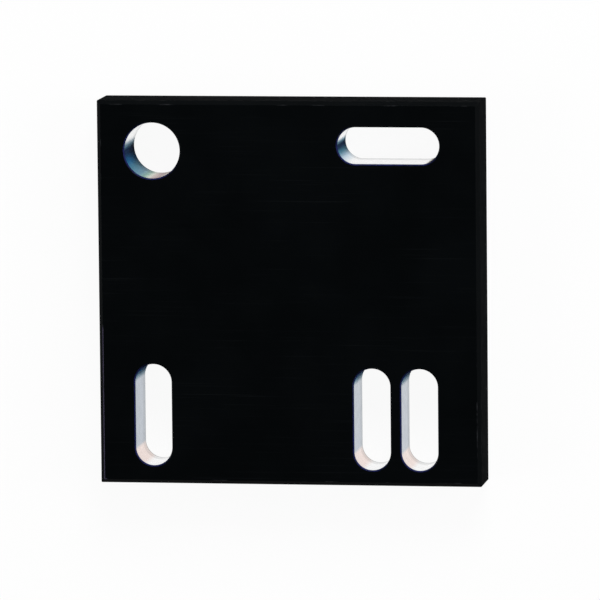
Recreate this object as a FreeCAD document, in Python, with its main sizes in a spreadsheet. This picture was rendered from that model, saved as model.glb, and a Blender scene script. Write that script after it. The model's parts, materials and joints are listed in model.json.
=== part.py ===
import FreeCAD, Part
import math
import os
import Sketcher

# Fixture plate: one square steel plate that work is bolted down to.
# A round bore sits in the upper left corner, one slot lies across the upper right
# corner, and three slots stand along the lower edge: one at the left, two side by
# side at the right. Every opening goes straight through, so a bolt from either side
# can slide along a slot and the bore takes a plain pin or bolt.
#
# Frame: millimetres, the plate lying on its back face. The origin is the middle of
# the back face, +X runs to the right edge, +Y to the upper edge, +Z out of the front.

SHEET = "Sizes"

# alias, value in millimetres, what it is
SIZES = (
    ("plate_width", 100.0, "left edge to right edge"),
    ("plate_length", 100.0, "lower edge to upper edge"),
    ("plate_thickness", 15.0, "back face to front face"),
    ("edge_chamfer", 1.0, "chamfer round the outside of both faces"),
    ("rim_chamfer", 0.3, "burr taken off both rims of every opening"),
    ("bore_diameter", 14.5, "round bore, clear of a 14 mm pin"),
    ("bore_from_left", 14.5, "bore centre to the left edge"),
    ("bore_from_top", 13.0, "bore centre to the upper edge"),
    ("slot_width", 9.5, "wall to wall across every slot"),
    ("slot_length", 26.5, "end to end along every slot"),
    ("cross_slot_from_right", 23.7, "cross slot centre to the right edge"),
    ("cross_slot_from_top", 11.4, "cross slot centre to the upper edge"),
    ("left_slot_from_left", 14.2, "left slot centre to the left edge"),
    ("left_slot_from_bottom", 18.0, "left slot centre to the lower edge"),
    ("outer_slot_from_right", 16.0, "outer slot of the pair to the right edge"),
    ("pair_from_bottom", 17.4, "centres of the pair to the lower edge"),
    ("pair_spacing", 12.4, "centre to centre across the pair"),
)

PAIR_COUNT = 2
LYING = 0.0  # degrees: a slot along X
STANDING = 90.0  # degrees: a slot along Y
FLATNESS = 1e-6  # how far a face's normal may be from Z to count as front or back
VOLUME_TOLERANCE = 1e-6  # share of the volume that a feature takes away


def make_sheet(doc):
    """The spreadsheet of driving sizes, one row each: name, value, note."""
    sheet = doc.addObject("Spreadsheet::Sheet", SHEET)
    for row, (alias, value, note) in enumerate(SIZES, start=1):
        sheet.set(f"A{row}", alias)
        sheet.set(f"B{row}", str(value))
        sheet.setAlias(f"B{row}", alias)
        sheet.set(f"C{row}", note)
    doc.recompute()
    return sheet


def base_plane(body):
    """The body's own XY plane, which is the plate's back face."""
    for feature in body.Origin.OriginFeatures:
        if feature.Role == "XY_Plane":
            return feature
    raise RuntimeError("the body has no XY plane")


def new_sketch(body, name):
    """An empty sketch on the back face's plane."""
    sketch = body.newObject("Sketcher::SketchObject", name)
    sketch.AttachmentSupport = [(base_plane(body), "")]
    sketch.MapMode = "FlatFace"
    return sketch


def opening_sketch(body, name, centre_x, centre_y, turn=LYING):
    """A sketch on the front face whose own origin is the opening's centre."""
    sketch = new_sketch(body, name)
    upward = FreeCAD.Vector(0, 0, 1)
    turned = FreeCAD.Rotation(upward, turn)
    sketch.AttachmentOffset = FreeCAD.Placement(FreeCAD.Vector(), turned)
    sketch.setExpression(".AttachmentOffset.Base.x", centre_x)
    sketch.setExpression(".AttachmentOffset.Base.y", centre_y)
    sketch.setExpression(".AttachmentOffset.Base.z", f"{SHEET}.plate_thickness")
    return sketch


def driven(sketch, constraint, name, expression):
    """Adds a dimension to a sketch and binds it to the sheet under its own name."""
    index = sketch.addConstraint(constraint)
    sketch.renameConstraint(index, name)
    sketch.setExpression(f"Constraints.{name}", expression)


def draw_rectangle(sketch, width, height):
    """A rectangle centred on the sketch's origin, its sides bound to two sizes."""
    half = 1.0
    corners = [
        FreeCAD.Vector(-half, -half, 0),
        FreeCAD.Vector(half, -half, 0),
        FreeCAD.Vector(half, half, 0),
        FreeCAD.Vector(-half, half, 0),
    ]
    sides = len(corners)
    for i in range(sides):
        sketch.addGeometry(Part.LineSegment(corners[i], corners[(i + 1) % sides]))
    for i in range(sides):
        sketch.addConstraint(Sketcher.Constraint("Coincident", i, 2, (i + 1) % sides, 1))
    for i in range(sides):
        direction = "Horizontal" if i % 2 == 0 else "Vertical"
        sketch.addConstraint(Sketcher.Constraint(direction, i))
    sketch.addConstraint(Sketcher.Constraint("Symmetric", 0, 1, 2, 1, -1, 1))
    driven(sketch, Sketcher.Constraint("DistanceX", 0, 1, 0, 2, 2 * half), "width", width)
    driven(sketch, Sketcher.Constraint("DistanceY", 1, 1, 1, 2, 2 * half), "height", height)


def draw_slot(sketch, width, length):
    """A slot lying along the sketch's X, centred on its origin: two half circles of
    the slot's width joined by two straight sides."""
    radius = 1.0
    reach = 2.0
    upward = FreeCAD.Vector(0, 0, 1)
    right = FreeCAD.Vector(reach, 0, 0)
    left = FreeCAD.Vector(-reach, 0, 0)
    rise = FreeCAD.Vector(0, radius, 0)
    quarter = math.pi / 2
    sketch.addGeometry(Part.LineSegment(left - rise, right - rise))
    sketch.addGeometry(Part.ArcOfCircle(Part.Circle(right, upward, radius), -quarter, quarter))
    sketch.addGeometry(Part.LineSegment(right + rise, left + rise))
    sketch.addGeometry(Part.ArcOfCircle(Part.Circle(left, upward, radius), quarter, 3 * quarter))
    pieces = 4
    for i in range(pieces):
        sketch.addConstraint(Sketcher.Constraint("Tangent", i, 2, (i + 1) % pieces, 1))
    sketch.addConstraint(Sketcher.Constraint("Equal", 1, 3))
    sketch.addConstraint(Sketcher.Constraint("Horizontal", 0))
    sketch.addConstraint(Sketcher.Constraint("Symmetric", 3, 3, 1, 3, -1, 1))
    driven(sketch, Sketcher.Constraint("Radius", 1, radius), "end_radius", f"{width} / 2")
    driven(
        sketch,
        Sketcher.Constraint("DistanceX", 3, 3, 1, 3, 2 * reach),
        "travel",
        f"{length} - {width}",
    )


def draw_circle(sketch, diameter):
    """A circle on the sketch's origin."""
    centre = FreeCAD.Vector(0, 0, 0)
    upward = FreeCAD.Vector(0, 0, 1)
    sketch.addGeometry(Part.Circle(centre, upward, 1.0))
    sketch.addConstraint(Sketcher.Constraint("Coincident", 0, 3, -1, 1))
    driven(sketch, Sketcher.Constraint("Diameter", 0, 2.0), "bore", diameter)


def make_blank(body):
    """The sawn and milled blank: a plain block of the plate's three sizes."""
    outline = new_sketch(body, "outline")
    draw_rectangle(outline, f"{SHEET}.plate_width", f"{SHEET}.plate_length")
    blank = body.newObject("PartDesign::Pad", "blank")
    blank.Profile = outline
    blank.setExpression("Length", f"{SHEET}.plate_thickness")
    return blank


def make_bore(body):
    """The round bore in the upper left corner, drilled from the front."""
    sketch = opening_sketch(
        body,
        "bore_centre",
        f"{SHEET}.bore_from_left - {SHEET}.plate_width / 2",
        f"{SHEET}.plate_length / 2 - {SHEET}.bore_from_top",
    )
    draw_circle(sketch, f"{SHEET}.bore_diameter")
    body.Document.recompute()
    bore = body.newObject("PartDesign::Hole", "bore")
    bore.Profile = sketch
    bore.DepthType = "ThroughAll"
    bore.setExpression("Diameter", f"{SHEET}.bore_diameter")
    return bore


def make_slot(body, name, centre_x, centre_y, turn=LYING):
    """One milled slot, cut right through from the front."""
    sketch = opening_sketch(body, f"{name}_outline", centre_x, centre_y, turn)
    draw_slot(sketch, f"{SHEET}.slot_width", f"{SHEET}.slot_length")
    slot = body.newObject("PartDesign::Pocket", name)
    slot.Profile = sketch
    slot.Type = "ThroughAll"
    return slot


def make_cross_slot(body):
    """The slot that lies across the upper right corner."""
    return make_slot(
        body,
        "cross_slot",
        f"{SHEET}.plate_width / 2 - {SHEET}.cross_slot_from_right",
        f"{SHEET}.plate_length / 2 - {SHEET}.cross_slot_from_top",
    )


def make_left_slot(body):
    """The slot that stands in the lower left corner."""
    return make_slot(
        body,
        "left_slot",
        f"{SHEET}.left_slot_from_left - {SHEET}.plate_width / 2",
        f"{SHEET}.left_slot_from_bottom - {SHEET}.plate_length / 2",
        STANDING,
    )


def make_outer_slot(body):
    """The slot of the lower right pair that is nearer to the edge."""
    return make_slot(
        body,
        "outer_slot",
        f"{SHEET}.plate_width / 2 - {SHEET}.outer_slot_from_right",
        f"{SHEET}.pair_from_bottom - {SHEET}.plate_length / 2",
        STANDING,
    )


def make_pair(body, outer_slot):
    """The outer slot repeated one spacing further in, which leaves a thin web."""
    pair = body.newObject("PartDesign::LinearPattern", "slot_pair")
    pair.Originals = [outer_slot]
    # The slot's sketch is turned to stand, so its own vertical axis points along -X.
    pair.Direction = (outer_slot.Profile[0], ["V_Axis"])
    pair.Mode = "Spacing"
    pair.Occurrences = PAIR_COUNT
    pair.setExpression("Offset", f"{SHEET}.pair_spacing")
    body.Tip = pair
    return pair


def flat_faces(shape):
    """The front and back faces: the flat faces that look along Z."""
    faces = []
    for face in shape.Faces:
        if face.Surface.TypeId != "Part::GeomPlane":
            continue
        if abs(abs(face.normalAt(0, 0).z) - 1.0) < FLATNESS:
            faces.append(face)
    return faces


def edge_names(shape, wires):
    """The names that a shape gives to the edges of some of its wires."""
    wanted = [edge for wire in wires for edge in wire.Edges]
    names = []
    for number, edge in enumerate(shape.Edges, start=1):
        if any(edge.isSame(other) for other in wanted):
            names.append(f"Edge{number}")
    return names


def rim_wires(shape):
    """The closed rims of every opening, on the front face and on the back."""
    rims = []
    for face in flat_faces(shape):
        rims += [wire for wire in face.Wires if not wire.isSame(face.OuterWire)]
    return rims


def outside_wires(shape):
    """The outlines of the front and back faces."""
    return [face.OuterWire for face in flat_faces(shape)]


def make_chamfer(body, name, base, wires, size):
    """An equal chamfer of one size all along some wires of the base feature."""
    chamfer = body.newObject("PartDesign::Chamfer", name)
    chamfer.Base = (base, edge_names(base.Shape, wires))
    chamfer.setExpression("Size", size)
    return chamfer


def bore_volume(sheet):
    """What the bore takes out of the blank: a round bar as long as the plate is thick."""
    radius = sheet.bore_diameter / 2
    return math.pi * radius**2 * sheet.plate_thickness


def slot_volume(sheet):
    """What one slot takes out: a straight run between two half circles."""
    radius = sheet.slot_width / 2
    travel = sheet.slot_length - sheet.slot_width
    area = travel * sheet.slot_width + math.pi * radius**2
    return area * sheet.plate_thickness


def rim_chamfer_volume(rims, size):
    """What the rims' chamfers take off: a triangle carried once round each rim. Its
    centre of area lies a third of the chamfer outside the wall, which makes every
    full turn that much longer."""
    turn = 2 * math.pi * size / 3
    return sum(rim.Length + turn for rim in rims) * size**2 / 2


def outside_chamfer_volume(outlines, size):
    """What the outside chamfers take off: a triangular prism along each side, less
    the small pyramid that two sides share at each corner."""
    total = 0.0
    for outline in outlines:
        corners = len(outline.Edges)
        total += outline.Length * size**2 / 2 - corners * size**3 / 3
    return total


def check_removed(before, after, expected):
    """Stops the build where a feature hasn't taken away the volume that it should."""
    removed = before.Shape.Volume - after.Shape.Volume
    print(f"{after.Name}: {removed:.3f} mm3 removed, {expected:.3f} mm3 expected")
    if abs(removed - expected) > VOLUME_TOLERANCE * expected:
        raise RuntimeError(f"{after.Name} doesn't remove what it should")


def make_plate(doc, sheet):
    """The whole plate as one body: blank, bore, slots, then the chamfers."""
    body = doc.addObject("PartDesign::Body", "fixture_plate")
    body.Label = "fixture_plate"
    blank = make_blank(body)
    doc.recompute()

    bore = make_bore(body)
    doc.recompute()
    check_removed(blank, bore, bore_volume(sheet))

    last = bore
    for make in (make_cross_slot, make_left_slot, make_outer_slot):
        slot = make(body)
        doc.recompute()
        check_removed(last, slot, slot_volume(sheet))
        last = slot

    pair = make_pair(body, last)
    doc.recompute()
    check_removed(last, pair, (PAIR_COUNT - 1) * slot_volume(sheet))

    rims = rim_wires(pair.Shape)
    eased = make_chamfer(body, "rim_chamfers", pair, rims, f"{SHEET}.rim_chamfer")
    doc.recompute()
    check_removed(pair, eased, rim_chamfer_volume(rims, sheet.rim_chamfer))

    outlines = outside_wires(eased.Shape)
    size = f"{SHEET}.edge_chamfer"
    finished = make_chamfer(body, "outside_chamfers", eased, outlines, size)
    doc.recompute()
    check_removed(eased, finished, outside_chamfer_volume(outlines, sheet.edge_chamfer))
    return body


def check_document(doc):
    """Stops the build where an object failed to recompute or has a bad shape."""
    for item in doc.Objects:
        if "Invalid" in item.State or "Error" in item.State:
            raise RuntimeError(f"{item.Name} failed to recompute: {item.State}")
        if not item.isDerivedFrom("Part::Feature"):
            continue
        if item.Shape.isNull() or not item.Shape.isValid():
            raise RuntimeError(f"{item.Name} has no valid shape")


def export(body):
    """Writes the body as a STEP file under its own label."""
    solids = len(body.Shape.Solids)
    if solids != 1:
        raise RuntimeError(f"{body.Label} holds {solids} solids instead of one")
    os.makedirs("parts", exist_ok=True)
    body.Shape.exportStep(f"parts/{body.Label}.step")
    box = body.Shape.BoundBox
    span = f"{box.XLength:.2f} x {box.YLength:.2f} x {box.ZLength:.2f} mm"
    print(f"{body.Label}: {span}, {body.Shape.Volume:.1f} mm3")


document = FreeCAD.newDocument("FixturePlate")
sizes = make_sheet(document)
plate = make_plate(document, sizes)
check_document(document)
export(plate)
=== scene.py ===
# %% [markdown]
# # A fixture plate, dressed around its CAD model
# The object is one solid steel plate. It has a round bore, a slot lying along the
# upper edge and three slots standing along the lower edge. Work is bolted to it
# through the slots, and the bore takes a pin. Every outer face carries a matt black
# coat. The openings were cut after coating, so their walls are bare, bright steel.
#
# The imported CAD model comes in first. It fixes every size and place, and all that
# follows is worked out from it, in metres, with +Z out of the plate's front face.

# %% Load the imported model
import json

import bpy
import numpy as np
from mathutils import Matrix, Vector, geometry


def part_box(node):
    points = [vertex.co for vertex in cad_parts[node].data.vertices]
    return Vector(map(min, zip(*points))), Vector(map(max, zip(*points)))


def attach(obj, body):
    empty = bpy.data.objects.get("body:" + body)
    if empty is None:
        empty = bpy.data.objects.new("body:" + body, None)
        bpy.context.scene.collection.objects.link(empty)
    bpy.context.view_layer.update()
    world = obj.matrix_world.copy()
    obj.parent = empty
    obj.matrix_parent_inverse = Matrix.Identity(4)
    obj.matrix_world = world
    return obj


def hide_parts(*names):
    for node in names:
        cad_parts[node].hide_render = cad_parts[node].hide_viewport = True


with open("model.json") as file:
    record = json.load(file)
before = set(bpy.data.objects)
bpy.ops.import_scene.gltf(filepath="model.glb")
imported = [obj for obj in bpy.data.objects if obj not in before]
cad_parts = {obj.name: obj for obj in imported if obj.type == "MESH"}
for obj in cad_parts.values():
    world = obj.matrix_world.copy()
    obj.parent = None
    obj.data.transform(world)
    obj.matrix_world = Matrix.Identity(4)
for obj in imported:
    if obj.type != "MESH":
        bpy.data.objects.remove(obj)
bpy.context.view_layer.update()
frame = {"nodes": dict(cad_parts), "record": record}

MM = 0.001
low, high = (np.array(corner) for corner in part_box("fixture_plate"))
width, length, thickness = high - low
middle = (low + high) / 2
print(f"plate {width / MM:.1f} x {length / MM:.1f} x {thickness / MM:.1f} mm")

# %% [markdown]
# ## The camera
# A long lens from well back keeps the plate's edges parallel, as a catalogue picture
# does. The camera leans a little toward the plate's upper right corner, so that one
# wall of each opening shows and tells the eye how thick the plate is.
#
# A leaning view squeezes the plate along one diagonal, and the two pairs of edges
# then turn opposite ways. Levelling the view on either pair would leave all of
# that turn to the other, so the camera is rolled by half and both share it.

# %% Camera direction
LEAN = np.radians(11.3)
TOWARD = np.radians(38.0)

back = Vector(
    (
        np.sin(LEAN) * np.cos(TOWARD),
        np.sin(LEAN) * np.sin(TOWARD),
        np.cos(LEAN),
    )
)
level_on_y = (Vector((0, 1, 0)) - back * back.y).normalized()
level_on_x = back.cross((Vector((1, 0, 0)) - back * back.x).normalized())
up = (level_on_y + level_on_x).normalized()
right = up.cross(back)
print(f"edges turn by {np.degrees(up.angle(level_on_y)):.2f} degrees each way")

# %% Camera
LENS = 450.0
SENSOR = 36.0
FRAME_WIDTH = 155.8 * MM
AIM_RIGHT = 1.8 * MM
AIM_UP = -2.5 * MM

camera = bpy.data.objects.new("camera", bpy.data.cameras.new("camera"))
bpy.context.scene.collection.objects.link(camera)
bpy.context.scene.camera = camera
camera.data.lens = LENS
camera.data.sensor_width = SENSOR
camera.data.clip_end = 20.0

distance = FRAME_WIDTH * LENS / SENSOR
place = Vector(middle) + right * AIM_RIGHT + up * AIM_UP + back * distance
turn = Matrix((right, up, back)).transposed()
camera.matrix_world = Matrix.Translation(place) @ turn.to_4x4()
print(f"camera {distance:.2f} m from the plate, leaning {np.degrees(LEAN):.1f} degrees")

# %% [markdown]
# ## Nodes by function call
# A material is a graph of nodes. Clicking it together in the editor is quick but
# can't be read back, so this file writes each graph down. One helper makes a node,
# sets its properties, and fills its inputs.

# %% Node helper


def add(tree, kind, values=None, **settings):
    """Adds a node and sets its properties, such as an operation or a node group. A
    value that is another node's socket is wired to the input, and any other value is
    written into it."""
    node = tree.nodes.new(kind)
    for name, value in settings.items():
        setattr(node, name, value)
    for key, value in (values or {}).items():
        if isinstance(value, bpy.types.NodeSocket):
            tree.links.new(value, node.inputs[key])
        else:
            node.inputs[key].default_value = value
    return node


def math_node(tree, operation, *values):
    """One Math node on sockets or numbers, and its output socket."""
    return add(tree, "ShaderNodeMath", dict(enumerate(values)), operation=operation).outputs[0]


print("node helpers ready")

# %% [markdown]
# ## The floor
# The plate lies on a plain pale floor. A floor lit just enough to look white would
# wash the plate out, so the light stays plain and the whiteness is the floor's own:
# for rays from the camera, and for rays mirrored in the bare walls, it is mostly a
# white glow of strength 1. The rest is its lit colour, which keeps the soft shadow.
# Seen from below the floor is clear, so that the plate's back can be looked at.

# %% Floor
FLOOR_HALF = 6.0
FLOOR_GAP = 0.05 * MM
FLOOR_GLOW = 0.94

x, y = np.array([[-1, 1, 1, -1], [-1, -1, 1, 1]]) * FLOOR_HALF
floor_points = np.stack([x, y, np.full(4, low[2] - FLOOR_GAP)], axis=1)
floor_mesh = bpy.data.meshes.new("floor")
floor_mesh.from_pydata(floor_points.tolist(), [], [(0, 1, 2, 3)])
floor = bpy.data.objects.new("floor", floor_mesh)
bpy.context.scene.collection.objects.link(floor)

pale_floor = bpy.data.materials.new("pale_floor")
pale_floor.use_nodes = True
tree = pale_floor.node_tree
tree.nodes.clear()
rays = add(tree, "ShaderNodeLightPath").outputs
seen = math_node(tree, "MAXIMUM", rays["Is Camera Ray"], rays["Is Glossy Ray"])
glow = math_node(tree, "MULTIPLY", seen, FLOOR_GLOW)
lit = add(tree, "ShaderNodeBsdfDiffuse", {"Color": (0.86, 0.86, 0.86, 1)})
white = add(tree, "ShaderNodeEmission", {"Color": (1, 1, 1, 1), "Strength": 1.0})
top = add(tree, "ShaderNodeMixShader", {0: glow, 1: lit.outputs[0], 2: white.outputs[0]})
below = add(tree, "ShaderNodeNewGeometry").outputs["Backfacing"]
clear = add(tree, "ShaderNodeBsdfTransparent")
both = add(tree, "ShaderNodeMixShader", {0: below, 1: top.outputs[0], 2: clear.outputs[0]})
add(tree, "ShaderNodeOutputMaterial", {"Surface": both.outputs[0]})
floor_mesh.materials.append(pale_floor)
print(f"floor {2 * FLOOR_HALF:.0f} m across, {FLOOR_GLOW:.0%} its own white")

# %% [markdown]
# ## The world
# A black plate seen from above mirrors whatever hangs over it, and only a dark
# ceiling leaves it black. So the world is a room that is pale at the horizon and
# dark overhead, made with a colour ramp on the height of each ray's direction. Where
# the camera sees the world itself, it is plain white, as the floor is.

# %% World
HORIZON = (0.75, 0.77, 0.80, 1)
CEILING = (0.030, 0.031, 0.033, 1)

world = bpy.data.worlds.new("studio")
bpy.context.scene.world = world
world.use_nodes = True
tree = world.node_tree
tree.nodes.clear()
heading = add(tree, "ShaderNodeTexCoord").outputs["Generated"]
height = add(tree, "ShaderNodeSeparateXYZ", {0: heading}).outputs["Z"]
ramp = add(tree, "ShaderNodeValToRGB", {0: height})
horizon, ceiling = ramp.color_ramp.elements
horizon.position, horizon.color = 0.10, HORIZON
ceiling.position, ceiling.color = 0.55, CEILING
room = add(tree, "ShaderNodeBackground", {"Color": ramp.outputs[0], "Strength": 1.0})
plain = add(tree, "ShaderNodeBackground", {"Color": (1, 1, 1, 1), "Strength": 1.0})
by_camera = add(tree, "ShaderNodeLightPath").outputs["Is Camera Ray"]
shown = add(tree, "ShaderNodeMixShader", {0: by_camera, 1: room.outputs[0], 2: plain.outputs[0]})
add(tree, "ShaderNodeOutputWorld", {"Surface": shown.outputs[0]})
bpy.context.scene.view_settings.view_transform = "Standard"
print("world: pale horizon, dark ceiling")

# %% [markdown]
# ## The lamps
# Three soft square lamps stand low round the plate. Low light rakes over the rims
# and walls, and its mirror image misses a camera that looks down. Their strengths
# are worked out and not tried out: together they light a level floor so that a
# colour renders about as it is written.

# %% Lamps
LAMP_AWAY = 1.3
LAMP_SIZE = 0.6


def lamp(name, azimuth, elevation, share):
    """A square soft lamp aimed at the plate's middle. Full light on a level floor is
    pi, and a lamp of P watts gives P / (pi * away squared) face on. For a share of
    the full light, P is pi squared * away squared * share / sine of the elevation."""
    turn, rise = np.radians(azimuth), np.radians(elevation)
    flat = np.array([np.cos(turn), np.sin(turn), 0.0]) * np.cos(rise)
    toward = Vector(flat + [0.0, 0.0, np.sin(rise)])
    light = bpy.data.lights.new(name, "AREA")
    light.size = LAMP_SIZE
    light.energy = float(np.pi**2 * LAMP_AWAY**2 * share / np.sin(rise))
    holder = bpy.data.objects.new(name, light)
    bpy.context.scene.collection.objects.link(holder)
    holder.location = Vector(middle) + toward * LAMP_AWAY
    holder.rotation_euler = toward.to_track_quat("Z", "Y").to_euler()
    print(f"{name}: {light.energy:.1f} W at {azimuth} degrees, {elevation} up")


lamp("key", azimuth=75, elevation=38, share=0.52)
lamp("fill", azimuth=10, elevation=32, share=0.24)
lamp("low", azimuth=190, elevation=30, share=0.20)

# %% [markdown]
# ## Openings, read from the record
# The record says where each opening is, so nothing is measured twice. A round bore
# is a slot with no travel: both are a short straight line, the path of the cutter's
# axis, with the cutter's radius all round it. That one idea covers every opening in
# this plate. The record also gives a box inside each slot, and the box's longer side
# tells which way the cutter moved.

# %% Openings
record = frame["record"]
mounts = {mount["name"]: mount for mount in record["mounts"]}


def opening_of(mount, radius_mm, half_travel_mm, along):
    """An opening: its centre, its end radius, and half of the cutter's travel."""
    return {
        "centre": np.array(mount["pos_m"][:2]),
        "radius": radius_mm * MM,
        "travel": half_travel_mm * MM * np.array(along, float),
    }


bore = mounts["bore"]
openings = {"bore": opening_of(bore, bore["dims"]["r_mm"], 0.0, (1, 0))}
for gap in record["physics"]["openings"]:
    name = gap["name"].removesuffix("_gap")
    radius = mounts[name]["dims"]["hole_r_mm"]
    half_travel = mounts[name]["dims"]["slot_length_mm"] / 2 - radius
    span = np.subtract(gap["box_m"][1], gap["box_m"][0])
    along = (1, 0) if span[0] > span[1] else (0, 1)
    openings[name] = opening_of(mounts[name], radius, half_travel, along)
for name, opening in openings.items():
    print(name, "radius", opening["radius"] / MM, "half travel", opening["travel"] / MM)

# %% [markdown]
# ## Chamfers, read from the CAD model
# The outer edges are chamfered. How far is measured on the CAD mesh itself: its
# front face stops short of the plate's side by the chamfer's width. The openings'
# rims have a finer chamfer, and the record gives it as what the bore's straight
# length leaves over from the plate's thickness.

# %% Chamfers
cad_mesh = frame["nodes"]["fixture_plate"].data
cad_points = np.empty(len(cad_mesh.vertices) * 3)
cad_mesh.vertices.foreach_get("co", cad_points)
cad_points = cad_points.reshape(-1, 3)
on_front = cad_points[:, 2] > high[2] - 0.001 * MM
EDGE_CHAMFER = high[0] - cad_points[on_front, 0].max()
RIM_CHAMFER = (thickness - bore["dims"]["length_mm"] * MM) / 2
print(f"edge chamfer {EDGE_CHAMFER / MM:.2f} mm, rim chamfer {RIM_CHAMFER / MM:.2f} mm")

# %% [markdown]
# ## Why the skin is built again
# The CAD mesh has the right shape, but its edges are perfectly sharp, and a sharp
# edge never catches the light. A real edge is rounded a little by the deburring
# tool, and that draws the fine lines round a machined part. A Bevel modifier could
# do it. Here each edge is a *profile*, a cross-section with its corners already
# rounded, that is carried along a *path*. The grid which comes out also knows which
# points lie on a rounded corner and which on a chamfer, and the finishes use that.

# %% Rounded corners
CORNER_RADIUS = 0.15 * MM
CORNER_STEPS = 4
HOLD = 0.12 * MM


def rounded(points):
    """A polyline with its inner corners turned into arcs. At a corner that turns by an
    angle, the arc starts radius * tan(angle / 2) before it, and its points are that
    start swept round the arc's centre. A holding point stands a little outside each
    end of the arc, so that shading and masks end there. Returns the points, and for
    each of them 1 on an arc and 0 elsewhere."""
    out, on_arc = [points[0]], [0.0]
    for before, corner, after in zip(points[:-2], points[1:-1], points[2:]):
        arriving = (corner - before) / np.linalg.norm(corner - before)
        leaving = (after - corner) / np.linalg.norm(after - corner)
        cross = arriving[0] * leaving[1] - arriving[1] * leaving[0]
        turn = np.arctan2(cross, arriving @ leaving)
        reach = CORNER_RADIUS * np.tan(abs(turn) / 2)
        start = corner - arriving * reach
        left = np.array([-arriving[1], arriving[0]])
        centre = start + np.sign(turn) * CORNER_RADIUS * left
        angles = np.linspace(0.0, turn, CORNER_STEPS + 1)
        cosines, sines = np.cos(angles), np.sin(angles)
        spoke = start - centre
        across = spoke[0] * cosines - spoke[1] * sines
        upward = spoke[0] * sines + spoke[1] * cosines
        arc = centre + np.stack([across, upward], axis=1)
        out += [start - arriving * HOLD, *arc, corner + leaving * (reach + HOLD)]
        on_arc += [0.0, *np.ones(len(arc)), 0.0]
    return np.array([*out, points[-1]]), np.array([*on_arc, 0.0])


corner_demo = rounded(np.array([[0.0, 0.0], [1.0, 0.0], [1.0, 1.0]]) * MM)
print(f"one rounded corner has {int(corner_demo[1].sum())} arc points")

# %% Edge profile
LIP = 3 * HOLD


def edge_profile(chamfer):
    """The section of an edge, as (distance from the wall, height): in along the back
    face, up the back chamfer, up the wall, over the front chamfer, and out along the
    front face. Also gives each point's share on a rounded corner and on a chamfer."""
    corners = [
        (chamfer + LIP, 0.0),
        (chamfer, 0.0),
        (0.0, chamfer),
        (0.0, thickness - chamfer),
        (chamfer, thickness),
        (chamfer + LIP, thickness),
    ]
    section, on_arc = rounded(np.array(corners))
    depth = np.minimum(section[:, 1], thickness - section[:, 1])
    sloped = (section[:, 0] < chamfer + HOLD / 2) & (depth < chamfer + HOLD / 2)
    return section, on_arc, sloped.astype(float)


for chamfer in (EDGE_CHAMFER, RIM_CHAMFER):
    print(f"profile with a {chamfer / MM:.1f} mm chamfer: {len(edge_profile(chamfer)[0])} points")

# %% [markdown]
# ## Bands: a profile carried round a path
# Each band is a grid, with one row for each profile point and one column for each
# path point. Round an opening, the profile is measured outward from the wall. Round
# the outline, it is measured inward, and the corners keep a tiny radius all the way.

# %% Band round an opening
HALF_TURN_STEPS = 48


def raised(plan, section):
    """Gives a grid of (x, y) points the heights of the profile, one to a row."""
    heights = np.broadcast_to(section[:, 1][:, None, None], plan.shape[:2] + (1,))
    return np.concatenate([plan, heights + low[2]], axis=2)


def opening_band(opening):
    """The wall and both rims of one opening. Each path point has a direction, and it
    belongs to one end of the cutter's travel. The surface point is centre + travel
    end + direction * (radius + distance from the wall)."""
    section, on_arc, sloped = edge_profile(RIM_CHAMFER)
    half_turn = np.linspace(-np.pi / 2, np.pi / 2, HALF_TURN_STEPS + 1)
    if not opening["travel"].any():
        half_turn = half_turn[:-1]
    heading = np.arctan2(opening["travel"][1], opening["travel"][0])
    angles = np.concatenate([half_turn, half_turn + np.pi]) + heading
    direction = np.stack([np.cos(angles), np.sin(angles)], axis=1)
    ends = np.repeat([1.0, -1.0], len(half_turn))[:, None] * opening["travel"]
    out = opening["radius"] + section[:, 0][:, None, None]
    plan = opening["centre"] + ends + direction * out
    return raised(plan, section), direction, on_arc, sloped


for name, opening in openings.items():
    print(name, "band", opening_band(opening)[0].shape[:2])

# %% Band round the outline
OUTLINE_STEPS = 5
OUTLINE_RADIUS = 0.30 * MM
FACE_RADIUS = 0.15 * MM


def outline_band():
    """The plate's edge. At each inward distance the outline is a square, smaller by
    that distance on every side. Its corners are quarter circles whose radius shrinks
    evenly across the chamfer, from the outline's to the face's."""
    section, on_arc, sloped = edge_profile(EDGE_CHAMFER)
    inward = section[:, 0][:, None, None]
    share = np.clip(inward / EDGE_CHAMFER, 0.0, 1.0)
    radius = OUTLINE_RADIUS + (FACE_RADIUS - OUTLINE_RADIUS) * share
    quarter = np.linspace(0.0, np.pi / 2, OUTLINE_STEPS + 1)
    angles = (np.arange(4)[:, None] * np.pi / 2 + quarter).ravel()
    direction = np.stack([np.cos(angles), np.sin(angles)], axis=1)
    signs = np.repeat([[1, 1], [-1, 1], [-1, -1], [1, -1]], len(quarter), axis=0)
    half_size = np.array([width, length]) / 2
    plan = middle[:2] + signs * (half_size - inward - radius) + direction * radius
    return raised(plan, section), direction, on_arc, sloped


print("outline band", outline_band()[0].shape[:2])

# %% Faces of a grid


def grid_faces(rows, columns, first, reverse):
    """Four-sided faces between neighbouring rows and columns, with the last column
    closed onto the first. Reverse turns them to face a hole's axis."""
    row = np.arange(rows - 1)[:, None] * columns
    column = np.arange(columns)[None]
    after = (column + 1) % columns
    corners = [row + column, row + after, row + columns + after, row + columns + column]
    quads = first + np.stack(corners, axis=2).reshape(-1, 4)
    return quads[:, ::-1] if reverse else quads


print("a 3 by 4 grid closes into", len(grid_faces(3, 4, 0, False)), "faces")
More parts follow.
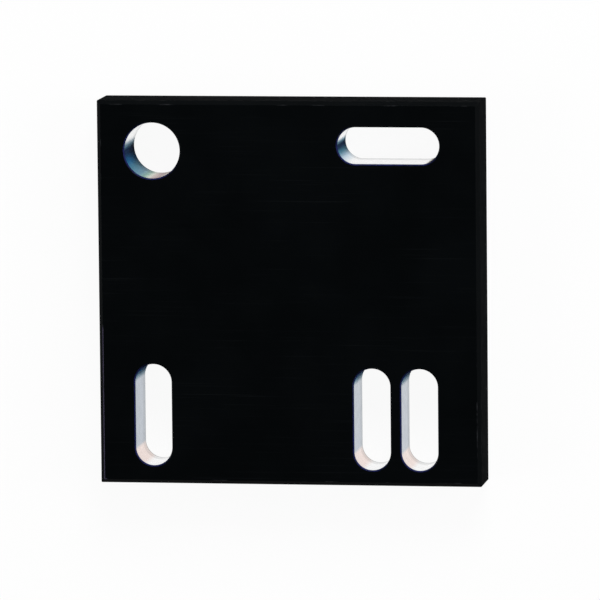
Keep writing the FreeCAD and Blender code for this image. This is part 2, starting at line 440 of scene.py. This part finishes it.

# %% [markdown]
# ## Colours round the walls
# A cut wall is never one even grey. Here its light and shade are painted into its colour by
# direction: painted shade in blue-black and dark blue, and painted reflection in pale, pink, straw
# and icy tones. An image wrapped round the wall could show that, but here it is painted as a
# *vertex colour*: each tone has a name and a colour, a short list says which tone lies in which
# direction from the cutter's axis, and the band's points take the colours between. A fourth number
# says how much of the wall is bare metal there, from 0 where the painted shade is darkest to 1
# where it is clean.

# %% Painted light colours for the walls
# Red, green, blue, and the share of bare metal.
# Tones of painted shade and painted reflection for the bare walls.
PAINTED_LIGHT_TONES = {
    "clean": (1.00, 1.00, 1.00, 1.00),
    "grey": (0.64, 0.62, 0.62, 1.00),
    "ice": (0.35, 0.54, 0.69, 1.00),
    "shade": (0.34, 0.40, 0.48, 1.00),
    "dusk": (0.25, 0.30, 0.36, 0.70),
    "steel_blue": (0.12, 0.30, 0.42, 0.60),
    "teal": (0.06, 0.22, 0.32, 0.38),
    "deep_blue": (0.01, 0.12, 0.28, 0.18),
    "blue_black": (0.01, 0.03, 0.08, 0.00),
    "brown_black": (0.07, 0.06, 0.06, 0.00),
    "umber": (0.18, 0.17, 0.16, 0.28),
    "green": (0.19, 0.43, 0.33, 0.75),
    "olive": (0.36, 0.34, 0.25, 0.75),
    "straw": (0.54, 0.58, 0.45, 1.00),
    "copper": (0.48, 0.33, 0.29, 0.90),
    "plum": (0.41, 0.25, 0.26, 0.70),
    "rose": (0.80, 0.56, 0.62, 1.00),
    "blush": (0.90, 0.72, 0.66, 1.00),
}
print(len(PAINTED_LIGHT_TONES), "film colours")

# %% Where the painted light lies
# Painted shade and painted reflection round each kind of opening, by direction.
STANDING_SLOT = {
    90: "blue_black",
    130: "blue_black",
    150: "deep_blue",
    165: "steel_blue",
    180: "shade",
    190: "blush",
    235: "blush",
    250: "clean",
    310: "clean",
    350: "shade",
    390: "dusk",
}
LYING_SLOT = {
    100: "clean",
    160: "clean",
    170: "steel_blue",
    180: "blue_black",
    190: "blue_black",
    205: "teal",
    225: "ice",
    250: "clean",
    280: "clean",
    290: "olive",
    300: "brown_black",
    330: "umber",
    400: "shade",
}
BORE = {
    100: "clean",
    160: "clean",
    170: "steel_blue",
    180: "blue_black",
    190: "blue_black",
    205: "deep_blue",
    220: "teal",
    240: "steel_blue",
    253: "green",
    260: "straw",
    267: "copper",
    280: "plum",
    290: "olive",
    300: "copper",
    310: "rose",
    335: "rose",
    420: "grey",
}
WALLS = {"bore": BORE, "cross_slot": LYING_SLOT}


def painted_wall_light(name, direction):
    """The wall's painted light and shade, and its bare share, in each direction. The stops name a
    tone at degrees anticlockwise from the plate's right, and the list repeats every full turn.
    Each channel runs straight from one stop to the next."""
    stops = WALLS.get(name, STANDING_SLOT)
    degrees = np.degrees(np.arctan2(direction[:, 1], direction[:, 0])) % 360
    channels = np.array([PAINTED_LIGHT_TONES[painted_light] for painted_light in stops.values()]).T
    at = list(stops)
    return np.stack([np.interp(degrees, at, channel, period=360) for channel in channels], axis=1)


straight_down = np.array([[0.0, -1.0]])
for name in openings:
    print(name, "straight down:", painted_wall_light(name, straight_down).round(2)[0])

# %% [markdown]
# ## Joining the bands
# Every face remembers its finish as a material number, and every point carries three attributes:
# how far it is on a rounded corner, how far on a rim chamfer, and its painted wall light and shade.
# The rim attribute is the mask of a painted navy sheen, so it fades with direction and is strongest
# on the lower left side of each rim.

# %% Join the bands
COATED, SAWN, MILLED, BORED = range(4)
SHEEN_SIDE = np.array([-0.8, -0.6])

parts = []
count = 0
for name in ["outline", *openings]:
    cut = name != "outline"
    grid, direction, on_arc, sloped = opening_band(openings[name]) if cut else outline_band()
    rows, columns = grid.shape[:2]
    heights = grid[:, 0, 2] - low[2]
    between = (heights[1:] + heights[:-1]) / 2
    chamfer = RIM_CHAMFER if cut else EDGE_CHAMFER
    on_wall = (between > chamfer) & (between < thickness - chamfer)
    wall_finish = (BORED if name == "bore" else MILLED) if cut else SAWN
    # Painted navy sheen, strongest toward the lower left side of each rim.
    sheen_side = np.clip(0.5 + direction @ SHEEN_SIDE, 0.0, 1.0) * cut
    # Painted light and shade round the wall, by direction.
    colour = painted_wall_light(name, direction) if cut else np.zeros((columns, 4))
    parts.append(
        {
            "points": grid.reshape(-1, 3),
            "quads": grid_faces(rows, columns, count, reverse=cut),
            "finish": np.repeat(np.where(on_wall, wall_finish, COATED), columns),
            "corner": np.repeat(on_arc, columns),
            "rim": np.outer(sloped, sheen_side).ravel(),
            "colour": np.tile(colour, (rows, 1)),
            "back_ring": count + np.arange(columns),
            "front_ring": count + (rows - 1) * columns + np.arange(columns),
        }
    )
    count += rows * columns


def joined(key):
    """One array from all of the bands."""
    return np.concatenate([part[key] for part in parts])


points = joined("points")
print(f"{len(parts)} bands, {count} points")

# %% [markdown]
# ## Filling the flat faces
# The bands begin on the back face and end on the front face. Each flat face is then
# filled between those rings with a Delaunay triangulation, which keeps its triangles
# as even as it can. It uses the bands' own points, so the skin has no gaps. It fills
# the openings too, and those triangles are taken out again.

# %% Fill the flat faces


def in_an_opening(places):
    """True for a place nearer to a cutter's path than the innermost point of the ring
    round it. The nearest path point is the place's share of the travel, kept between
    the two ends. The ring is made of straight pieces, so it comes in to
    radius * cosine of half a step."""
    found = np.zeros(len(places), bool)
    for opening in openings.values():
        offset = places - opening["centre"]
        travel = opening["travel"]
        share = np.clip(offset @ travel / max(travel @ travel, MM**2), -1.0, 1.0)
        gap = np.linalg.norm(offset - share[:, None] * travel, axis=1)
        ring = opening["radius"] + RIM_CHAMFER + LIP
        found |= gap < ring * np.cos(np.pi / 2 / HALF_TURN_STEPS)
    return found


def flat_face(key, facing):
    """Triangles between the outline's ring and the openings' rings. A triangle's turn
    is the cross product of two of its sides, and those that turn the wrong way for
    the side that the face is on are reversed."""
    rings = [part[key] for part in parts]
    used = np.concatenate(rings)
    starts = np.cumsum([0] + [len(ring) for ring in rings[:-1]])
    after = [start + np.roll(np.arange(len(ring)), -1) for start, ring in zip(starts, rings)]
    edges = np.stack([np.arange(len(used)), np.concatenate(after)], axis=1)
    flat = points[used][:, :2]
    filled = geometry.delaunay_2d_cdt(flat.tolist(), edges.tolist(), [], 0, 1e-9)
    came_from = np.array(filled[3])[:, 0]
    triangles = came_from[np.array(filled[2])]
    triangles = triangles[~in_an_opening(flat[triangles].mean(axis=1))]
    one, two = (flat[triangles[:, i]] - flat[triangles[:, 0]] for i in (1, 2))
    turning = one[:, 0] * two[:, 1] - one[:, 1] * two[:, 0]
    wrong = turning * facing < 0
    triangles[wrong] = triangles[wrong][:, ::-1]
    return used[triangles]


triangles = np.concatenate([flat_face("back_ring", -1), flat_face("front_ring", 1)])
print(f"{len(triangles)} triangles fill the two faces")

# %% [markdown]
# ## The skin as a Blender mesh
# The arrays go into the mesh whole. Faces are shaded smooth, except across an angle over 30
# degrees. Every corner here is rounded in smaller steps than that, so the setting only guards
# against a later change. Then the skin takes the CAD node's place: it hides the node and is
# attached to the body named root.

# %% Skin mesh
SHARP_ANGLE = np.radians(30)

mesh = bpy.data.meshes.new("fixture_plate_skin")
mesh.from_pydata(points.tolist(), [], joined("quads").tolist() + triangles.tolist())
finish = np.concatenate([joined("finish"), np.full(len(triangles), COATED)])
mesh.polygons.foreach_set("material_index", finish.astype(np.int32))
for key in ("corner", "rim"):
    layer = mesh.attributes.new(key, "FLOAT", "POINT")
    layer.data.foreach_set("value", joined(key).astype(np.float32))
layer = mesh.attributes.new("painted_wall_light", "FLOAT_COLOR", "POINT")
layer.data.foreach_set("color", joined("colour").astype(np.float32).ravel())
mesh.shade_smooth()
mesh.set_sharp_from_angle(angle=SHARP_ANGLE)

plate = bpy.data.objects.new("fixture_plate_skin", mesh)
bpy.context.scene.collection.objects.link(plate)
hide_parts("fixture_plate")
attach(plate, "root")
print(f"{len(mesh.polygons)} faces, mended by Blender: {mesh.validate()}")

# %% [markdown]
# ## Is it closed?
# A solid's skin is closed when every edge belongs to exactly two faces. Its volume
# is then the sum of the tetrahedra from the origin to each triangle, a sixth of the
# triple product of its corners, and it comes out positive when faces point outward.

# %% Check the skin
edge_of_corner = np.empty(len(mesh.loops), np.int32)
mesh.loops.foreach_get("edge_index", edge_of_corner)
faces_on_edge = np.bincount(edge_of_corner, minlength=len(mesh.edges))
mesh.calc_loop_triangles()
ends = np.empty(len(mesh.loop_triangles) * 3, np.int32)
mesh.loop_triangles.foreach_get("vertices", ends)
first, second, third = points[ends.reshape(-1, 3)].transpose(1, 0, 2)
volume = (first * np.cross(second, third)).sum() / 6
print(f"closed: {(faces_on_edge == 2).all()}, {len(mesh.loop_triangles)} triangles")
print(f"volume {volume / MM**3:.0f} mm3")

# %% [markdown]
# ## Effects that finishes share
# A node group is to materials what a function is to code. Each effect that more than
# one finish uses is a group with named inputs, built once and placed with the values
# that suit that finish. A group here only puts out numbers that change over the
# surface, and the shader itself stays in the material.

# %% Group helpers


def new_group(name, inputs, outputs):
    """An empty node group whose inputs are given as (name, default) and whose outputs
    are numbers, given by name. Returns it with its input sockets."""
    group = bpy.data.node_groups.new(name, "ShaderNodeTree")
    for label, default in inputs.items():
        kind = "NodeSocketVector" if isinstance(default, tuple) else "NodeSocketFloat"
        socket = group.interface.new_socket(label, in_out="INPUT", socket_type=kind)
        socket.default_value = default
    for label in outputs:
        group.interface.new_socket(label, in_out="OUTPUT", socket_type="NodeSocketFloat")
    return group, group.nodes.new("NodeGroupInput").outputs


def spread(tree, value, start, full, low_end=0.0, high_end=1.0, soft=False):
    """A number brought from between start and full to between two ends, and held
    there past them."""
    ends = {"From Min": start, "From Max": full, "To Min": low_end, "To Max": high_end}
    kind = "SMOOTHSTEP" if soft else "LINEAR"
    node = add(tree, "ShaderNodeMapRange", {"Value": value, **ends}, interpolation_type=kind)
    return node.outputs["Result"]


def use(tree, group, output, inputs):
    """Places a node group, fills its inputs, and returns one of its outputs."""
    return add(tree, "ShaderNodeGroup", inputs, node_tree=group).outputs[output]


print("group helpers ready")

# %% [markdown]
# ## Clouds
# Nothing made by hand is one even tone. Noise gives a value near 0.5 almost
# everywhere, so it is stretched: what lies between 0.3 and 0.7 is spread smoothly
# from Low to High. With a large size number the clouds are small.

# %% Clouds
clouds, given = new_group(
    "clouds",
    {"Place": (0, 0, 0), "Size": 40.0, "Low": 0.0, "High": 1.0},
    ["Value"],
)
noise = add(
    clouds,
    "ShaderNodeTexNoise",
    {"Vector": given["Place"], "Scale": given["Size"], "Detail": 5.0},
)
soft = spread(clouds, noise.outputs["Fac"], 0.3, 0.7, given["Low"], given["High"], soft=True)
add(clouds, "NodeGroupOutput", {"Value": soft})
print("clouds:", len(clouds.nodes), "nodes")

# %% [markdown]
# ## Tool marks
# A cutter leaves fine parallel lines. They are the same noise with its cells
# squeezed: the place is multiplied by one number round the wall and by another down
# its depth, and the cells come out long where the number is small. Height drives a
# bump, and Streak drives colour.

# %% Tool marks
tool_marks, given = new_group(
    "tool_marks",
    {"Place": (0, 0, 0), "Round": 60.0, "Deep": 2000.0},
    ["Height", "Streak"],
)
squeeze = add(
    tool_marks,
    "ShaderNodeCombineXYZ",
    {0: given["Round"], 1: given["Round"], 2: given["Deep"]},
)
squeezed = add(
    tool_marks,
    "ShaderNodeVectorMath",
    {0: given["Place"], 1: squeeze.outputs[0]},
    operation="MULTIPLY",
)
fine = add(
    tool_marks,
    "ShaderNodeTexNoise",
    {"Vector": squeezed.outputs[0], "Scale": 1.0, "Detail": 4.0, "Roughness": 0.6},
).outputs["Fac"]
streak = spread(tool_marks, fine, 0.35, 0.65)
add(tool_marks, "NodeGroupOutput", {"Height": fine, "Streak": streak})
print("tool marks:", len(tool_marks.nodes), "nodes")

# %% [markdown]
# ## Hairlines
# Handling scratches a matt coat with hair-fine lines. The noise is squeezed a
# hundred times more across than along, only its highest crests are kept, and clouds
# leave them in patches, since a plate isn't rubbed everywhere alike.

# %% Hairlines
hairlines, given = new_group(
    "hairlines",
    {"Place": (0, 0, 0), "Turn": (0, 0, 0), "Amount": 1.0},
    ["Mask"],
)
turned = add(
    hairlines,
    "ShaderNodeMapping",
    {"Vector": given["Place"], "Rotation": given["Turn"], "Scale": (25, 2600, 2600)},
)
long_cells = add(
    hairlines,
    "ShaderNodeTexNoise",
    {"Vector": turned.outputs[0], "Scale": 1.0, "Detail": 1.0},
)
crests = spread(hairlines, long_cells.outputs["Fac"], 0.66, 0.74)
patches = use(hairlines, clouds, "Value", {"Place": given["Place"], "Size": 55.0})
in_patches = math_node(hairlines, "MULTIPLY", crests, patches)
mask = math_node(hairlines, "MULTIPLY", in_patches, given["Amount"])
add(hairlines, "NodeGroupOutput", {"Mask": mask})
print("hairlines:", len(hairlines.nodes), "nodes")

# %% [markdown]
# ## Corner wear
# A coat goes first where the plate touches things, on its corners, and it goes in
# short lengths. The corner attribute says where that can be, and fine noise above a
# level says where it has happened. A larger Amount lowers the level.

# %% Corner wear
WEAR_LEVEL = 0.75
WEAR_SOFTNESS = 0.12

corner_wear, given = new_group(
    "corner_wear",
    {"Place": (0, 0, 0), "Corner": 0.0, "Amount": 0.5},
    ["Mask"],
)
noise = add(
    corner_wear,
    "ShaderNodeTexNoise",
    {"Vector": given["Place"], "Scale": 160.0, "Detail": 6.0, "Roughness": 0.65},
)
level = math_node(corner_wear, "SUBTRACT", WEAR_LEVEL, given["Amount"])
above = math_node(corner_wear, "SUBTRACT", noise.outputs["Fac"], level)
broken = spread(corner_wear, above, 0.0, WEAR_SOFTNESS)
mask = math_node(corner_wear, "MULTIPLY", broken, given["Corner"])
add(corner_wear, "NodeGroupOutput", {"Mask": mask})
print("corner wear:", len(corner_wear.nodes), "nodes")

# %% [markdown]
# ## Helpers for materials
# Each material starts empty, with the Object coordinates, which are metres on the
# plate itself. So a noise size says something real, and the pattern moves with the
# plate. It ends in one Principled shader.

# %% Material helpers


def start_material(name):
    """A new material with an empty node tree, and its Object coordinates."""
    made = bpy.data.materials.new(name)
    made.use_nodes = True
    made.node_tree.nodes.clear()
    place = add(made.node_tree, "ShaderNodeTexCoord").outputs["Object"]
    return made, made.node_tree, place


def end_material(tree, inputs):
    """The Principled shader with its inputs filled, wired to the output."""
    surface = add(tree, "ShaderNodeBsdfPrincipled", inputs)
    add(tree, "ShaderNodeOutputMaterial", {"Surface": surface.outputs[0]})


def blend(tree, factor, first, second, kind="MIX"):
    """Two colours blended: first * (1 - factor) + second * factor, or, when the kind
    is MULTIPLY, first * (1 - factor + second * factor)."""
    colours = {0: factor, 6: first, 7: second}
    return add(tree, "ShaderNodeMix", colours, data_type="RGBA", blend_type=kind).outputs[2]


def attribute(tree, name, output="Fac"):
    """The socket of one of the skin's own attributes."""
    return add(tree, "ShaderNodeAttribute", attribute_name=name).outputs[output]


def bump(tree, height, strength, distance):
    """A normal tilted as if the height were real: strength * distance metres."""
    inputs = {"Height": height, "Strength": strength, "Distance": distance}
    return add(tree, "ShaderNodeBump", inputs).outputs[0]


print("material helpers ready")

# %% [markdown]
# ## The black coat: colour
# The coat is a thin matt black layer. Black isn't zero, and it isn't even: two very dark tones are
# mottled together. On the lower left side of each rim chamfer a navy tone is painted in patches, a
# painted sheen.

# %% Coat colour
COAT_DARK = (0.0013, 0.0018, 0.0021, 1)
COAT_LIGHT = (0.0018, 0.0024, 0.0028, 1)
NAVY_SHEEN = (0.011, 0.014, 0.078, 1)

black_coat, tree, place = start_material("black_coat")
mottle = use(tree, clouds, "Value", {"Place": place, "Size": 45.0})
coat_colour = blend(tree, mottle, COAT_DARK, COAT_LIGHT)
# Painted navy sheen on the rim chamfers, in patches.
patchy = use(tree, clouds, "Value", {"Place": place, "Size": 900.0, "Low": 0.5})
navy_sheen_part = math_node(tree, "MULTIPLY", attribute(tree, "rim"), patchy)
coat_colour = blend(tree, navy_sheen_part, coat_colour, NAVY_SHEEN)
print("coat mottled in clouds about", round(1000 / 45), "mm apart")

# %% [markdown]
# ## The black coat: highlight and wear
# A faint violet painted highlight runs along the front corner of the lower part of the left edge.
# Four masks multiplied together pick it out: the rounded corners, near the left side, below a
# height, and near the front face. Corner wear and two families of hairlines go over everything.

# %% Coat highlight and wear
LEFT_EDGE_HIGHLIGHT = (0.050, 0.043, 0.075, 1)
WORN = (0.018, 0.019, 0.021, 1)
SCRATCHED = (0.0060, 0.0068, 0.0075, 1)
LEFT, FRONT = float(low[0]), float(high[2])

axes = add(tree, "ShaderNodeSeparateXYZ", {0: place}).outputs
corner = attribute(tree, "corner")
near_left = spread(tree, axes["X"], LEFT + 2.0 * MM, LEFT + 1.2 * MM, soft=True)
lower_part = spread(tree, axes["Y"], -8.5 * MM, -10.0 * MM, soft=True)
near_front = spread(tree, axes["Z"], FRONT - 0.6 * MM, FRONT - 0.3 * MM, soft=True)
# Painted highlight: a faint violet line along the front corner of the lower left edge.
left_edge_highlight = corner
for mask in (near_left, lower_part, near_front):
    left_edge_highlight = math_node(tree, "MULTIPLY", left_edge_highlight, mask)
coat_colour = blend(tree, left_edge_highlight, coat_colour, LEFT_EDGE_HIGHLIGHT)

worn = use(tree, corner_wear, "Mask", {"Place": place, "Corner": corner, "Amount": 0.20})
coat_colour = blend(tree, worn, coat_colour, WORN)

one_way = use(tree, hairlines, "Mask", {"Place": place, "Turn": (0, 0, 0.55), "Amount": 0.5})
other_way = use(tree, hairlines, "Mask", {"Place": place, "Turn": (0, 0, -0.95), "Amount": 0.4})
scratches = math_node(tree, "MAXIMUM", one_way, other_way)
coat_colour = blend(tree, scratches, coat_colour, SCRATCHED)
print("coat worn on its corners and scratched in two directions")

# %% [markdown]
# ## The black coat: surface
# The coat mirrors almost nothing, which keeps it black under a lamp, so its
# Specular IOR Level is near zero. Scratches are a little glossier than what they
# scratch, and the coat's grain is a bump too fine to model.

# %% Coat surface
SCRATCH_GLOSS = -0.08

rough = use(tree, clouds, "Value", {"Place": place, "Size": 90.0, "Low": 0.33, "High": 0.40})
rough = math_node(tree, "MULTIPLY_ADD", scratches, SCRATCH_GLOSS, rough)
grain = add(tree, "ShaderNodeTexNoise", {"Vector": place, "Scale": 2500.0, "Detail": 3.0})
coat_surface = {
    "Base Color": coat_colour,
    "Roughness": rough,
    "Specular IOR Level": 0.02,
    "Normal": bump(tree, grain.outputs["Fac"], 0.10, 0.1 * MM),
}
end_material(tree, coat_surface)
print("black coat:", len(tree.nodes), "nodes")

# %% [markdown]
# ## The sawn sides
# The blank was sawn from bar, and the saw's marks run along its four sides under the
# coat. They break the light up, so the sides are rougher and look a shade greyer
# than the faces.

# %% Sawn sides
SAWN_DARK = (0.0014, 0.0018, 0.0021, 1)
SAWN_LIGHT = (0.0034, 0.0040, 0.0045, 1)

sawn_black_side, tree, place = start_material("sawn_black_side")
saw = {"Place": place, "Round": 45.0, "Deep": 1100.0}
streak = use(tree, tool_marks, "Streak", saw)
height = use(tree, tool_marks, "Height", saw)
mottle = use(tree, clouds, "Value", {"Place": place, "Size": 70.0, "Low": 0.2})
uneven = math_node(tree, "MULTIPLY", streak, mottle)
rough = use(tree, clouds, "Value", {"Place": place, "Size": 300.0, "Low": 0.88, "High": 1.0})
sawn_surface = {
    "Base Color": blend(tree, uneven, SAWN_DARK, SAWN_LIGHT),
    "Roughness": rough,
    "Specular IOR Level": 0.006,
    "Normal": bump(tree, height, 0.25, 0.1 * MM),
}
end_material(tree, sawn_surface)
print("sawn side:", len(tree.nodes), "nodes")

# %% [markdown]
# ## The bare walls
# A bare wall takes its colour from the vertex colour, with its painted light and shade, and is
# darkened in streaks by the cutter's marks. It also changes with depth, in painted shade: a thin
# dark line at the far rim, a thin bright line just above it, a greyer band, then clean steel. The
# bare share drives Metallic and Roughness, so that the darkest painted parts are dull and the steel
# is bright.

# %% Painted shade down the depth
# From the back face, 0, to the front face, 1.
# Painted shade near the far rim: a thin dark line, a thin bright line, then a greyer band.
DEPTH_SHADE_TONES = {
    0.03: (0.30, 0.34, 0.36, 1),
    0.07: (0.38, 0.38, 0.38, 1),
    0.09: (0.98, 0.98, 0.98, 1),
    0.11: (0.74, 0.74, 0.74, 1),
    0.24: (0.76, 0.76, 0.76, 1),
    0.30: (1.00, 1.00, 1.00, 1),
    0.80: (1.00, 1.00, 1.00, 1),
    1.00: (0.88, 0.92, 0.93, 1),
}


def depth_shade(tree, height):
    """The painted shade tone at a height. A new ramp has two stops, which take the first and the
    last tone, and the rest are added between them."""
    depth = spread(tree, height, float(low[2]), float(high[2]))
    ramp = add(tree, "ShaderNodeValToRGB", {0: depth})
    stops = ramp.color_ramp.elements
    first, *between, last = DEPTH_SHADE_TONES.items()
    for stop, (position, tone) in zip(stops, (first, last)):
        stop.position = position
        stop.color = tone
    for position, tone in between:
        stops.new(position).color = tone
    return ramp.outputs[0]


print("walls have", len(DEPTH_SHADE_TONES), "tones down their depth")

# %% Bare walls
DULL_ROUGHNESS = 0.90
STEEL_ROUGHNESS = 0.20


def bare_wall(name, around, deep, darkest):
    """Bare steel. Colour is the wall's painted light and shade * streaks * depth shade. Roughness
    runs from the dull value to the steel's with the bare share, and fine clouds are added to it."""
    made, tree, place = start_material(name)
    marks = {"Place": place, "Round": around, "Deep": deep}
    streak = use(tree, tool_marks, "Streak", marks)
    height = use(tree, tool_marks, "Height", marks)
    # The wall colour attribute holds painted light and shade, by direction.
    bare = attribute(tree, "painted_wall_light", "Alpha")
    steel = attribute(tree, "painted_wall_light", "Color")
    steel = blend(tree, streak, steel, (darkest, darkest, darkest, 1), "MULTIPLY")
    upward = add(tree, "ShaderNodeSeparateXYZ", {0: place}).outputs["Z"]
    steel = blend(tree, 1.0, steel, depth_shade(tree, upward), "MULTIPLY")
    rough = spread(tree, bare, 0.0, 1.0, DULL_ROUGHNESS, STEEL_ROUGHNESS)
    stains = use(tree, clouds, "Value", {"Place": place, "Size": 400.0, "Low": -0.03, "High": 0.04})
    wall_surface = {
        "Base Color": steel,
        "Metallic": bare,
        "Roughness": math_node(tree, "ADD", rough, stains),
        "Specular IOR Level": 0.05,
        "Normal": bump(tree, height, 0.15, 0.05 * MM),
    }
    end_material(tree, wall_surface)
    print(f"{name}: {len(tree.nodes)} nodes")
    return made


milled_wall = bare_wall("milled_wall", around=60.0, deep=1400.0, darkest=0.86)
bored_wall = bare_wall("bored_wall", around=900.0, deep=40.0, darkest=0.80)

# %% [markdown]
# ## Finishes onto the skin
# The material numbers given to the faces count along this list, so its order is that
# of COATED, SAWN, MILLED and BORED.

# %% Put the finishes on
for material in (black_coat, sawn_black_side, milled_wall, bored_wall):
    mesh.materials.append(material)
print(", ".join(material.name for material in mesh.materials))
